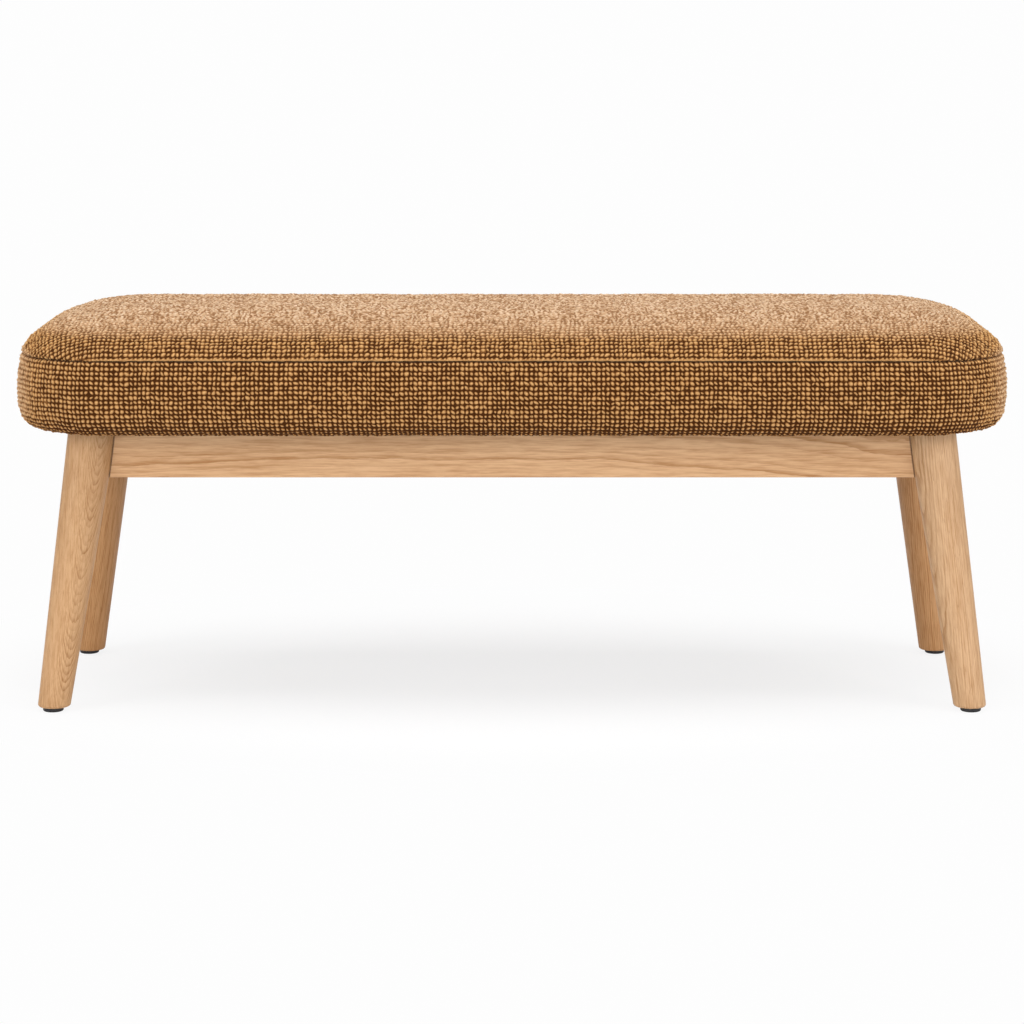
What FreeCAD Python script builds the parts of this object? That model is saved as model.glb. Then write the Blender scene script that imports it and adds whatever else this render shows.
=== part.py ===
import FreeCAD
import Part
import math
import os

from FreeCAD import Vector

# An upholstered bench: a soft cushion with a boxed border on an oak frame with four splayed, tapered legs.
# Millimetres, +Z up, +X along the seat to the viewer's right, +Y to the back.
# The origin is on the floor, under the middle of the seat.

# Cushion, measured over its cover
SEAT_LENGTH = 1200.0
SEAT_DEPTH = 400.0
SEAT_HEIGHT = 480.0
CUSHION_THICKNESS = 145.0
SEAT_CORNER_RADIUS = 115.0
CORNER_SOFTENING = 0.25  # how much slower than a true offset the corners tighten inwards
CROWN_RISE = 51.5  # crown above the seam
CROWN_WIDTH = 130.0  # from the seam in to where the top is level
CROWN_POWER = 1.85  # 2 is an ellipse, less is a leaner shoulder
SEAM_INSET = 6.0
WIDEST_RISE = 50.5  # widest line of the border above the underside
UNDERSIDE_INSET = 34.5  # where the border's lower roll meets the flat underside
ROLL_POWER = 2.6  # 2 is an ellipse, more is a fuller roll

# Layers of the seat
FABRIC = 2.5
WADDING = 6.0
LAYER_GAP = 0.3
SEAM_GAP = 0.4
HEM_WIDTH = 35.0
DUST_COVER = 1.0
DUST_COVER_INSET = 44.0
BOARD_THICKNESS = 15.0
BOARD_INSET = 43.0
BOARD_EDGE_ROUND = 2.0
FOAM_LIP = 6.0  # how far the foam's lip stops above the board's underside

# Legs
LEG_FOOT_RADIUS = 19.3  # at the floor
LEG_TOP_RADIUS = 29.0  # under the seat
LEG_SPLAY_X = 8.0  # degrees from upright, seen from the front
LEG_SPLAY_Y = 10.0  # degrees from upright, seen from the end
FOOT_INSET_X = 44.0  # foot's centre to the cushion's end
FOOT_INSET_Y = 34.0  # foot's centre to the cushion's front
LEG_FOOT_ROUND = 3.0
LEG_TOP_CHAMFER = 1.0

# Rails and their mitred tenons
RAIL_HEIGHT = 57.0
RAIL_THICKNESS = 22.0
RAIL_FACE_LEAD = 4.5  # outer face beyond the leg's axis, at the rail's middle height
RAIL_EDGE_ROUND = 1.5
SHOULDER_GAP = 0.3
TENON_THICKNESS = 10.0
TENON_SHOULDER = 8.0
TENON_FIT = 0.15
TENON_ROOT = 2 * LEG_TOP_RADIUS  # how far inside the rail's end a tenon starts
MITRE_GAP = 0.6

# Cross braces, housed in the long rails
BRACE_SPACING = 360.0
BRACE_THICKNESS = 22.0
BRACE_HEIGHT = 45.0
BRACE_HOUSING = 6.0
BRACE_FIT = 0.1
BRACE_SCREW_SPACING = 120.0
BRACE_SCREW_BITE = 11.0  # into the seat board
BRACE_COUNTERBORE = 10.0

# Corner blocks
BLOCK_LEG_CLEARANCE = 1.5
BLOCK_REACH = 56.0
BLOCK_WING = 16.0
BLOCK_HEIGHT = 40.0
BLOCK_DROP = 2.0  # block's top below the rails' top
BLOCK_SCREW_OUT = 12.0  # screw's axis in from the wing's end
BLOCK_SCREW_SPACING = 20.0
BLOCK_SCREW_SEAT = 15.0  # wood left under the screw's head
BLOCK_SCREW_BITE = 14.0  # into the rail

# Fasteners
SCREW_SHANK_RADIUS = 2.0
SCREW_HEAD_RADIUS = 4.0
SCREW_HEAD_DEPTH = 2.6
SCREW_HEAD_RIM = 0.4
SCREW_TIP = 5.0
SCREW_POINT_RADIUS = 0.4
SCREW_SLOT_WIDTH = 0.8
SCREW_SLOT_DEPTH = 1.3
SCREW_FIT = 0.1
SCREW_HOLE_END = 1.0  # room past the screw's point
HEAD_POCKET_FIT = 0.6
BOLT_RADIUS = 2.95
BOLT_END_DROP = 2.0  # bolt's end below the seat board's top
BOLT_HEAD_WIDTH = 10.0  # across flats
BOLT_HEAD_HEIGHT = 4.0
BOLT_HOLE_FIT = 0.35
WASHER_RADIUS = 8.0
WASHER_THICKNESS = 1.6
TEE_NUT_FLANGE_RADIUS = 9.5
TEE_NUT_FLANGE = 1.5
TEE_NUT_BARREL_RADIUS = 3.9
TEE_NUT_BARREL = 9.0
TEE_NUT_BORE_FIT = 0.05
TEE_NUT_PRONGS = 4
TEE_NUT_PRONG = (3.0, 0.8, 6.0)  # width, thickness, length
TEE_NUT_PRONG_INSET = 0.5
TEE_NUT_FIT = 0.1

# Floor glides
GLIDE_RADIUS = 12.5
GLIDE_HEIGHT = 5.5
GLIDE_EDGE_ROUND = 2.0
GLIDE_RECESS_RADIUS = 6.0
GLIDE_RECESS = 1.7
GLIDE_SCREW_LENGTH = 22.0

# Levels, from the floor up
UNDERSIDE_Z = SEAT_HEIGHT - CUSHION_THICKNESS
RAIL_BOTTOM_Z = UNDERSIDE_Z - RAIL_HEIGHT
RAIL_MIDDLE_Z = UNDERSIDE_Z - RAIL_HEIGHT / 2
HEM_Z = UNDERSIDE_Z + DUST_COVER
BOARD_Z = HEM_Z + FABRIC
BOARD_TOP_Z = BOARD_Z + BOARD_THICKNESS
SEAM_Z = SEAT_HEIGHT - CROWN_RISE
WIDEST_Z = UNDERSIDE_Z + WIDEST_RISE
BLOCK_TOP_Z = UNDERSIDE_Z - BLOCK_DROP
BLOCK_BOTTOM_Z = BLOCK_TOP_Z - BLOCK_HEIGHT
BRACE_BOTTOM_Z = UNDERSIDE_Z - BRACE_HEIGHT

# Screws and bolts are as long as what they join
BRACE_SCREW_LENGTH = BOARD_Z - BRACE_BOTTOM_Z - BRACE_COUNTERBORE + BRACE_SCREW_BITE
BLOCK_SCREW_LENGTH = BLOCK_SCREW_SEAT + BLOCK_SCREW_BITE
BOLT_LENGTH = BOARD_TOP_Z - BOLT_END_DROP - BLOCK_BOTTOM_Z + WASHER_THICKNESS

PAST = 1.0  # how far a cut runs past the face it opens
FLAT = 0.01  # an edge within this height counts as level
SKIN_STEPS = 6  # lengths in each loft of the skin
SKIN_NEAR = 0.02  # a near place on the skin, for its slope

SIDES = (-1, 1)
CORNERS = [(x, y) for x in SIDES for y in SIDES]
SIDE_NAME = {-1: "left", 1: "right"}
ROW_NAME = {-1: "front", 1: "back"}


def corner_name(corner):
    return ROW_NAME[corner[1]] + "_" + SIDE_NAME[corner[0]]


def box(x, y, z):
    """A block between two values along each axis, given in any order."""
    low = Vector(min(x), min(y), min(z))
    return Part.makeBox(max(x) - low.x, max(y) - low.y, max(z) - low.z, low)


def prism(points, low, high):
    """An upright prism over a plan outline."""
    wire = Part.makePolygon([Vector(x, y, low) for x, y in points + points[:1]])
    return Part.Face(wire).extrude(Vector(0, 0, high - low))


def turned(profile, base=Vector(), axis=Vector(0, 0, 1)):
    """A solid of revolution from (radius, height) points, stood on base along axis."""
    outline = [(0, profile[0][1])] + profile + [(0, profile[-1][1])]
    wire = Part.makePolygon([Vector(r, 0, h) for r, h in outline + outline[:1]])
    solid = Part.Face(wire).revolve(Vector(), Vector(0, 0, 1), 360)
    solid.Placement = FreeCAD.Placement(base, FreeCAD.Rotation(Vector(0, 0, 1), axis))
    return solid


def rounded_outline(half_x, half_y, radius, z):
    """A closed rectangle of four lines and four quarter arcs."""
    edges = []
    middles = [(half_x - radius, half_y - radius), (radius - half_x, half_y - radius)]
    middles += [(-x, -y) for x, y in middles]
    ends = []
    for quarter, (x, y) in enumerate(middles):
        start, half, end = (math.radians(90 * quarter + turn) for turn in (0, 45, 90))
        on_arc = [Vector(x + radius * math.cos(a), y + radius * math.sin(a), z) for a in (start, half, end)]
        edges.append(Part.Arc(*on_arc).toShape())
        ends.append((on_arc[0], on_arc[2]))
    for quarter in range(4):
        edges.insert(2 * quarter + 1, Part.makeLine(ends[quarter][1], ends[(quarter + 1) % 4][0]))
    return Part.Wire(edges)


def plan_corner(inset):
    """Corner radius of the cushion's plan at an inset from its widest outline."""
    return SEAT_CORNER_RADIUS - inset * (1 - CORNER_SOFTENING)


def plan_outline(inset, z, radius=None):
    radius = plan_corner(inset) if radius is None else radius
    return rounded_outline(SEAT_LENGTH / 2 - inset, SEAT_DEPTH / 2 - inset, radius, z)


def plan_slab(inset, low, high):
    return Part.Face(plan_outline(inset, low)).extrude(Vector(0, 0, high - low))


def level_edges(shape, z):
    """The edges of a shape that lie flat at a level."""
    return [e for e in shape.Edges if e.BoundBox.ZLength < FLAT and abs(e.BoundBox.ZMin - z) < FLAT]


# The cushion's skin. A place on its section is a number: 0 at the underside, 1 at the widest line,
# 2 at the seam and 3 where the crown is level.
UNDERSIDE, WIDEST, SEAM, CROWN = 0.0, 1.0, 2.0, 3.0


def skin_point(place):
    """(inset, height) of the cover's outer face."""
    if place <= WIDEST:
        turn = place * math.pi / 2
        out, down = (wave(turn) ** (2 / ROLL_POWER) for wave in (math.sin, math.cos))
        return UNDERSIDE_INSET * (1 - out), WIDEST_Z - (WIDEST_Z - HEM_Z) * down
    if place <= SEAM:
        share = place - WIDEST
        return SEAM_INSET * share**2, WIDEST_Z + (SEAM_Z - WIDEST_Z) * share
    share = min(place - SEAM, 1.0) ** 2
    rise = (1 - (1 - share) ** CROWN_POWER) ** (1 / CROWN_POWER)
    return SEAM_INSET + CROWN_WIDTH * share, SEAM_Z + CROWN_RISE * rise


def skin_section(place, depth):
    """The skin's outline at a place, moved in by depth square to the skin."""
    here = skin_point(place)
    before = skin_point(max(place - SKIN_NEAR, UNDERSIDE))
    after = skin_point(min(place + SKIN_NEAR, CROWN))
    along, up = after[0] - before[0], after[1] - before[1]
    long = math.hypot(along, up)
    inwards = depth * up / long
    down = depth * along / long
    return plan_outline(here[0] + inwards, here[1] - down, plan_corner(here[0]) - inwards)


def skin_solid(start, end, depth):
    """What the skin holds between two places on its section, with flat ends."""
    places = [start + (end - start) * i / SKIN_STEPS for i in range(SKIN_STEPS + 1)]
    return Part.makeLoft([skin_section(p, depth) for p in places], True, False)


def cushion_body(depth):
    """The whole cushion inside its skin, at a depth below it."""
    return skin_solid(UNDERSIDE, SEAM, depth).fuse(skin_solid(SEAM, CROWN, depth))


def between(shape, low, high):
    """The part of a shape between two levels."""
    return shape.common(box((-SEAT_LENGTH, SEAT_LENGTH), (-SEAT_DEPTH, SEAT_DEPTH), (low, high)))


def seam_opening():
    """A flat plug that opens both panels' cloth where they meet at the seam."""
    inset, _ = skin_point(SEAM)
    face = Part.Face(plan_outline(inset + FABRIC, SEAM_Z - FABRIC, plan_corner(inset) - FABRIC))
    return face.extrude(Vector(0, 0, 2 * FABRIC))


def cover_top_panel():
    """The cloth over the crown, from the seam up."""
    cloth = skin_solid(SEAM, CROWN, 0.0).cut(skin_solid(SEAM, CROWN, FABRIC))
    return between(cloth.cut(seam_opening()), SEAM_Z + SEAM_GAP / 2, SEAT_HEIGHT + PAST)


def cover_boxing():
    """The border band, from the seam down round the edge, with its hem under the board."""
    cloth = skin_solid(UNDERSIDE, SEAM, 0.0).cut(skin_solid(UNDERSIDE, SEAM, FABRIC))
    cloth = cloth.cut(plan_slab(UNDERSIDE_INSET + HEM_WIDTH, HEM_Z - PAST, BOARD_Z + PAST))
    return between(cloth.cut(seam_opening()), HEM_Z - PAST, SEAM_Z - SEAM_GAP / 2)


def board_room():
    return plan_slab(BOARD_INSET - LAYER_GAP, HEM_Z, BOARD_TOP_Z)


def seat_wadding():
    """The quilted layer between the cover and the foam."""
    outer = cushion_body(FABRIC + LAYER_GAP)
    shell = outer.cut(cushion_body(FABRIC + WADDING))
    return between(shell.cut(board_room()), BOARD_Z + FOAM_LIP / 2, SEAT_HEIGHT)


def seat_foam():
    """The foam block, with a lip down round the board's edge."""
    block = cushion_body(FABRIC + WADDING + LAYER_GAP)
    return between(block.cut(board_room()), BOARD_Z + FOAM_LIP, SEAT_HEIGHT)


# Legs: straight round tapers that lean out to the end and to the front or back.
def leg_axis(corner, z):
    """The leg's axis at a height."""
    x = SEAT_LENGTH / 2 - FOOT_INSET_X - z * math.tan(math.radians(LEG_SPLAY_X))
    y = SEAT_DEPTH / 2 - FOOT_INSET_Y - z * math.tan(math.radians(LEG_SPLAY_Y))
    return Vector(corner[0] * x, corner[1] * y, z)


def leg_taper(corner, extra=0.0):
    """The leg's full round taper, past both its ends, grown by extra."""
    low, high = -LEG_TOP_RADIUS, UNDERSIDE_Z + LEG_TOP_RADIUS
    base, top = leg_axis(corner, low), leg_axis(corner, high)
    grow = (LEG_TOP_RADIUS - LEG_FOOT_RADIUS) / UNDERSIDE_Z
    radii = [LEG_FOOT_RADIUS + grow * z + extra for z in (low, high)]
    return Part.makeCone(radii[0], radii[1], (top - base).Length, base, top - base)


def rail_face(along_x):
    """Distance of a rail's outer face from the middle of the seat."""
    axis = leg_axis((1, 1), RAIL_MIDDLE_Z)
    return (axis.y if along_x else axis.x) + RAIL_FACE_LEAD


def tenon_middle(along_x):
    return rail_face(along_x) - RAIL_THICKNESS / 2


def tenon(corner, along_x, start, fit=0.0, gap=MITRE_GAP):
    """A tenon from start to the mitre where the two rails' tenons meet inside the leg."""
    half = TENON_THICKNESS / 2 + fit
    across, end = tenon_middle(along_x), tenon_middle(not along_x)
    outline = [(start, across - half), (end - half - gap, across - half), (end + half - gap, across + half)]
    outline.append((start, across + half))
    if not along_x:
        outline = [(y, x) for x, y in outline]
    outline = [(corner[0] * x, corner[1] * y) for x, y in outline]
    return prism(outline, RAIL_BOTTOM_Z + TENON_SHOULDER - fit, UNDERSIDE_Z - TENON_SHOULDER + fit)


def leg(corner):
    """A round tapered leg, cut level at both ends, with a mortise for each rail."""
    shank = between(leg_taper(corner), GLIDE_HEIGHT, UNDERSIDE_Z)
    shank = shank.makeFillet(LEG_FOOT_ROUND, level_edges(shank, GLIDE_HEIGHT))
    shank = shank.makeChamfer(LEG_TOP_CHAMFER, level_edges(shank, UNDERSIDE_Z))
    for along_x in (True, False):
        start = tenon_middle(not along_x) - TENON_ROOT
        shank = shank.cut(tenon(corner, along_x, start, TENON_FIT, -TENON_FIT))
    foot = leg_axis(corner, 0)
    hole = Part.makeCylinder(SCREW_SHANK_RADIUS + SCREW_FIT, GLIDE_SCREW_LENGTH + GLIDE_HEIGHT, foot)
    return shank.cut(hole)


def rail(side, along_x):
    """A rail, mitred to its neighbours, scribed to the round legs and with a mitred tenon at each end."""
    outer, inner = rail_face(along_x), rail_face(along_x) - RAIL_THICKNESS
    long, short = (rail_face(not along_x) - cut - MITRE_GAP for cut in (0, RAIL_THICKNESS))
    outline = [(-short, inner), (short, inner), (long, outer), (-long, outer)]
    outline = [(x, side * y) if along_x else (side * y, x) for x, y in outline]
    blank = prism(outline, RAIL_BOTTOM_Z, UNDERSIDE_Z)
    run = [e for e in blank.Edges if max(e.BoundBox.XLength, e.BoundBox.YLength) > 2 * short - PAST]
    blank = blank.makeFillet(RAIL_EDGE_ROUND, run)
    corners = [(end, side) if along_x else (side, end) for end in SIDES]
    for corner in corners:
        blank = blank.cut(leg_taper(corner, SHOULDER_GAP))
    for corner in corners:
        blank = blank.fuse(tenon(corner, along_x, short - TENON_ROOT))
    return blank.removeSplitter()


def housing(side, brace, fit):
    """The room a brace's end takes in a long rail."""
    inner = rail_face(True) - RAIL_THICKNESS
    half = BRACE_THICKNESS / 2 + fit
    middle = brace * BRACE_SPACING / 2
    return box(
        (middle - half, middle + half),
        (side * (inner - PAST), side * (inner + BRACE_HOUSING + fit)),
        (BRACE_BOTTOM_Z - fit, UNDERSIDE_Z + PAST),
    )


def long_rail(side):
    """The front or back rail, housed for the braces."""
    piece = rail(side, True)
    for brace in SIDES:
        piece = piece.cut(housing(side, brace, BRACE_FIT))
    for place, direction in block_screw_places():
        piece = piece.cut(screw_hole(place, direction, BLOCK_SCREW_LENGTH))
    return piece


def end_rail(side):
    """The left or right rail."""
    piece = rail(side, False)
    for place, direction in block_screw_places():
        piece = piece.cut(screw_hole(place, direction, BLOCK_SCREW_LENGTH))
    return piece


def brace_screw_places():
    """Where the braces' screws start, head end first."""
    z = BRACE_BOTTOM_Z + BRACE_COUNTERBORE
    spots = [(brace * BRACE_SPACING / 2, row * BRACE_SCREW_SPACING / 2) for brace in SIDES for row in SIDES]
    return [(Vector(x, y, z), Vector(0, 0, 1)) for x, y in spots]


def cross_brace(brace):
    """A slat on edge between the long rails, screwed up into the seat board."""
    middle = brace * BRACE_SPACING / 2
    reach = rail_face(True) - RAIL_THICKNESS + BRACE_HOUSING
    slat = box(
        (middle - BRACE_THICKNESS / 2, middle + BRACE_THICKNESS / 2),
        (-reach, reach),
        (BRACE_BOTTOM_Z, UNDERSIDE_Z),
    )
    for place, direction in brace_screw_places():
        if place.x * brace > 0:
            slat = slat.cut(screw_hole(place, direction, BRACE_SCREW_LENGTH))
            slat = slat.cut(head_pocket(place, direction, BRACE_COUNTERBORE + PAST))
    return slat


# Corner blocks: across each inside corner, screwed to both rails and bolted up to the seat board.
def inner_corner(corner):
    """Where the two rails' inner faces would meet."""
    return Vector(
        corner[0] * (rail_face(False) - RAIL_THICKNESS), corner[1] * (rail_face(True) - RAIL_THICKNESS), 0
    )


def corner_block(corner):
    """A block across the frame's corner. The largest solid is kept, as the leg's scoop can leave a sliver."""
    start = inner_corner(corner)
    reach, wing = BLOCK_REACH, BLOCK_WING
    outline = [(0, 0), (reach, 0), (reach, wing), (wing, reach), (0, reach)]
    outline = [(start.x - corner[0] * x, start.y - corner[1] * y) for x, y in outline]
    block = prism(outline, BLOCK_BOTTOM_Z, BLOCK_TOP_Z)
    block = block.cut(leg_taper(corner, BLOCK_LEG_CLEARANCE))
    block = block.cut(Part.makeCylinder(BOLT_RADIUS + BOLT_HOLE_FIT, BLOCK_HEIGHT, bolt_place(corner)))
    for place, direction in block_screw_places([corner]):
        block = block.cut(screw_hole(place, direction, BLOCK_SCREW_LENGTH))
        block = block.cut(head_pocket(place, direction, BLOCK_REACH))
    return max(block.Solids, key=lambda solid: solid.Volume)


def block_screw_places(corners=CORNERS):
    """Start and direction of the screws that hold the blocks to the rails."""
    found = []
    out = BLOCK_REACH - BLOCK_SCREW_OUT
    middle = (BLOCK_BOTTOM_Z + BLOCK_TOP_Z) / 2
    for corner in corners:
        start = inner_corner(corner)
        for level in SIDES:
            z = middle + level * BLOCK_SCREW_SPACING / 2
            to_long_rail = Vector(start.x - corner[0] * out, start.y - corner[1] * BLOCK_SCREW_SEAT, z)
            to_end_rail = Vector(start.x - corner[0] * BLOCK_SCREW_SEAT, start.y - corner[1] * out, z)
            found.append((to_long_rail, Vector(0, corner[1], 0)))
            found.append((to_end_rail, Vector(corner[0], 0, 0)))
    return found


def bolt_place(corner):
    """The seat bolt's axis at the block's underside."""
    start = inner_corner(corner)
    inset = (BLOCK_REACH + BLOCK_WING) / 4 + WASHER_RADIUS / 2
    return Vector(start.x - corner[0] * inset, start.y - corner[1] * inset, BLOCK_BOTTOM_Z)


# Fasteners
def screw(place, direction, length):
    """A countersunk wood screw with its head's rim at place."""
    shank, head = SCREW_SHANK_RADIUS, SCREW_HEAD_RADIUS
    profile = [(head, 0), (head, SCREW_HEAD_RIM), (shank, SCREW_HEAD_DEPTH)]
    profile += [(shank, length - SCREW_TIP), (SCREW_POINT_RADIUS, length)]
    body = turned(profile, place, direction)
    half_long, half_wide = head / 2, SCREW_SLOT_WIDTH / 2
    long, wide, deep = (-half_long, half_long), (-half_wide, half_wide), (-PAST, SCREW_SLOT_DEPTH)
    cross = box(long, wide, deep).fuse(box(wide, long, deep))
    cross.Placement = FreeCAD.Placement(place, FreeCAD.Rotation(Vector(0, 0, 1), direction))
    return body.cut(cross)


def screw_hole(place, direction, length):
    """A snug hole with its countersink, a little longer than the screw."""
    shank, head = SCREW_SHANK_RADIUS + SCREW_FIT, SCREW_HEAD_RADIUS + SCREW_FIT
    profile = [(head, 0), (head, SCREW_HEAD_RIM + SCREW_FIT), (shank, SCREW_HEAD_DEPTH + SCREW_FIT)]
    return turned(profile + [(shank, length + SCREW_HOLE_END)], place, direction)


def head_pocket(place, direction, depth):
    """The clear bore behind a sunk screw head."""
    return Part.makeCylinder(SCREW_HEAD_RADIUS + HEAD_POCKET_FIT, depth, place - direction * depth, direction)


def group(solids):
    """Loose identical pieces kept together in one file."""
    return Part.makeCompound(list(solids))


def corner_block_screws():
    return group(screw(place, direction, BLOCK_SCREW_LENGTH) for place, direction in block_screw_places())


def brace_screws():
    return group(screw(place, direction, BRACE_SCREW_LENGTH) for place, direction in brace_screw_places())


def seat_bolt(corner):
    """A hexagon bolt up through the block and the seat board's nut."""
    base = bolt_place(corner) - Vector(0, 0, WASHER_THICKNESS)
    shank = Part.makeCylinder(BOLT_RADIUS, BOLT_LENGTH, base)
    radius = BOLT_HEAD_WIDTH / math.sqrt(3)
    turns = [math.radians(60 * i) for i in range(6)]
    hexagon = [(base.x + radius * math.cos(turn), base.y + radius * math.sin(turn)) for turn in turns]
    return shank.fuse(prism(hexagon, base.z - BOLT_HEAD_HEIGHT, base.z))


def washer(corner):
    base = bolt_place(corner) - Vector(0, 0, WASHER_THICKNESS)
    disc = Part.makeCylinder(WASHER_RADIUS, WASHER_THICKNESS, base)
    return disc.cut(Part.makeCylinder(BOLT_RADIUS + BOLT_HOLE_FIT, WASHER_THICKNESS, base))


def tee_nut(corner, fit=0.0):
    """A pronged nut let in flush with the board's top. With a fit it is the room it takes."""
    top = bolt_place(corner)
    top.z = BOARD_TOP_Z
    down = Vector(0, 0, -1)
    body = Part.makeCylinder(TEE_NUT_FLANGE_RADIUS + fit, TEE_NUT_FLANGE + fit, top, down)
    body = body.fuse(Part.makeCylinder(TEE_NUT_BARREL_RADIUS + fit, TEE_NUT_BARREL + fit, top, down))
    width, thickness, length = (size + 2 * fit for size in TEE_NUT_PRONG)
    for i in range(TEE_NUT_PRONGS):
        prong = box((-width / 2, width / 2), (0, thickness), (-TEE_NUT_FLANGE - length, -TEE_NUT_FLANGE / 2))
        prong.translate(Vector(0, TEE_NUT_FLANGE_RADIUS + fit - thickness - TEE_NUT_PRONG_INSET, 0))
        prong.rotate(Vector(), Vector(0, 0, 1), 360 / TEE_NUT_PRONGS * i)
        prong.translate(top)
        body = body.fuse(prong)
    if fit:
        return body
    bore = Part.makeCylinder(BOLT_RADIUS + TEE_NUT_BORE_FIT, TEE_NUT_BARREL + PAST, top, down)
    return body.cut(bore).removeSplitter()


# Seat board and dust cover
def seat_board():
    """Plywood base, drilled for the bolts, nuts and brace screws."""
    board = plan_slab(BOARD_INSET, BOARD_Z, BOARD_TOP_Z)
    board = board.makeFillet(BOARD_EDGE_ROUND, level_edges(board, BOARD_Z) + level_edges(board, BOARD_TOP_Z))
    for corner in CORNERS:
        place = bolt_place(corner)
        board = board.cut(Part.makeCylinder(BOLT_RADIUS + BOLT_HOLE_FIT, SEAT_HEIGHT, place))
        board = board.cut(tee_nut(corner, TEE_NUT_FIT))
    for place, direction in brace_screw_places():
        board = board.cut(screw_hole(place, direction, BRACE_SCREW_LENGTH))
    return board


def dust_cover():
    """The black cloth that closes the underside."""
    cloth = plan_slab(DUST_COVER_INSET, UNDERSIDE_Z, HEM_Z)
    for corner in CORNERS:
        place = bolt_place(corner)
        cloth = cloth.cut(Part.makeCylinder(BOLT_RADIUS + BOLT_HOLE_FIT, SEAT_HEIGHT, place))
    for place, direction in brace_screw_places():
        cloth = cloth.cut(screw_hole(place, direction, BRACE_SCREW_LENGTH))
    return cloth


# Floor glides
def glide(corner):
    """A round plastic glide with a sunk hole for its screw."""
    foot = leg_axis(corner, 0)
    disc = Part.makeCylinder(GLIDE_RADIUS, GLIDE_HEIGHT, foot)
    disc = disc.makeFillet(GLIDE_EDGE_ROUND, level_edges(disc, 0))
    disc = disc.cut(Part.makeCylinder(GLIDE_RECESS_RADIUS, GLIDE_RECESS, foot))
    return disc.cut(screw_hole(foot + Vector(0, 0, GLIDE_RECESS), Vector(0, 0, 1), GLIDE_SCREW_LENGTH))


def glide_screws():
    seat = Vector(0, 0, GLIDE_RECESS)
    return group(screw(leg_axis(corner, 0) + seat, Vector(0, 0, 1), GLIDE_SCREW_LENGTH) for corner in CORNERS)


def build():
    """Every piece of the bench, by name."""
    pieces = {}
    for corner in CORNERS:
        name = corner_name(corner)
        pieces["leg_" + name] = leg(corner)
        pieces["glide_" + name] = glide(corner)
        pieces["corner_block_" + name] = corner_block(corner)
    for side in SIDES:
        pieces[ROW_NAME[side] + "_rail"] = long_rail(side)
        pieces[SIDE_NAME[side] + "_end_rail"] = end_rail(side)
        pieces["cross_brace_" + SIDE_NAME[side]] = cross_brace(side)
    pieces["seat_board"] = seat_board()
    pieces["seat_foam"] = seat_foam()
    pieces["seat_wadding"] = seat_wadding()
    pieces["cover_top_panel"] = cover_top_panel()
    pieces["cover_boxing"] = cover_boxing()
    pieces["dust_cover"] = dust_cover()
    pieces["seat_bolts"] = group(seat_bolt(corner) for corner in CORNERS)
    pieces["seat_bolt_washers"] = group(washer(corner) for corner in CORNERS)
    pieces["tee_nuts"] = group(tee_nut(corner) for corner in CORNERS)
    pieces["corner_block_screws"] = corner_block_screws()
    pieces["brace_screws"] = brace_screws()
    pieces["glide_screws"] = glide_screws()
    return pieces


def main():
    os.makedirs("parts", exist_ok=True)
    for name, shape in build().items():
        print(f"{name}: {len(shape.Solids)} solid(s), {shape.Volume / 1000:.1f} cm3, valid {shape.isValid()}")
        shape.exportStep(f"parts/{name}.step")


main()
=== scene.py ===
import math

import bpy
import numpy as np
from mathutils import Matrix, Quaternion, Vector


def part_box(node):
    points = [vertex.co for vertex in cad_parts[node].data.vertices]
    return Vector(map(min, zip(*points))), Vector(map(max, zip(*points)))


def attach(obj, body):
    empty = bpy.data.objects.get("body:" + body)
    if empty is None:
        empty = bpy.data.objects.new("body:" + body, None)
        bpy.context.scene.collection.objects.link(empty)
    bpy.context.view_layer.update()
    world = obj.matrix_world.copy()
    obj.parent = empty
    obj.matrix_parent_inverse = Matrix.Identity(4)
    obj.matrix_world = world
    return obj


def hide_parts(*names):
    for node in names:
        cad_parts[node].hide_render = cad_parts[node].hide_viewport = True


# The bench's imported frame, and the box it fills.
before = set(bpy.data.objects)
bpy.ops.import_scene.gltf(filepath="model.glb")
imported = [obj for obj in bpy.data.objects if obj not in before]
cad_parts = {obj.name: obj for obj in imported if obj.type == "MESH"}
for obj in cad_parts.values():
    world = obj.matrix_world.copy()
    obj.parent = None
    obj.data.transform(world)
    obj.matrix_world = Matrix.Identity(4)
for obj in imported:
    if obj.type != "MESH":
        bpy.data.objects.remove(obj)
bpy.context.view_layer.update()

# Oak legs and rails.
# Four turned, tapered legs and four rails tenoned into them, planed, sanded and clear oiled.
# Grain runs along every piece. It shows arches on the front left leg and long soft lines on the rails.
OAK_LIGHT = (0.685, 0.422, 0.226)
OAK_DARK = (0.380, 0.176, 0.057)
OAK_PORE = (0.270, 0.125, 0.045)
JOINT_BROWN = (0.085, 0.040, 0.016)


def put(tree, socket, value):
    """Sets a node's input to a value, or links it to another node's output."""
    if isinstance(value, bpy.types.NodeSocket):
        tree.links.new(value, socket)
    else:
        socket.default_value = value


def add(tree, kind, *values, settings=(), **named):
    """A node with its settings, and its inputs given in order or by name."""
    node = tree.nodes.new(kind)
    for key, value in dict(settings).items():
        setattr(node, key, value)
    for slot, value in enumerate(values):
        put(tree, node.inputs[slot], value)
    for key, value in named.items():
        put(tree, node.inputs[key.replace("_", " ")], value)
    return node


def maths(tree, kind, *values):
    """A math node; each operand is a number or another node's output."""
    return add(tree, "ShaderNodeMath", *values, settings={"operation": kind}).outputs[0]


def total(tree, *terms):
    """The sum of (value, weight) pairs."""
    result = 0.0
    for value, weight in terms:
        result = maths(tree, "MULTIPLY_ADD", value, weight, result)
    return result


def far(tree, first, second):
    """The distance that two distances at right angles make."""
    return maths(tree, "SQRT", maths(tree, "MULTIPLY_ADD", first, first, maths(tree, "MULTIPLY", second, second)))


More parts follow.
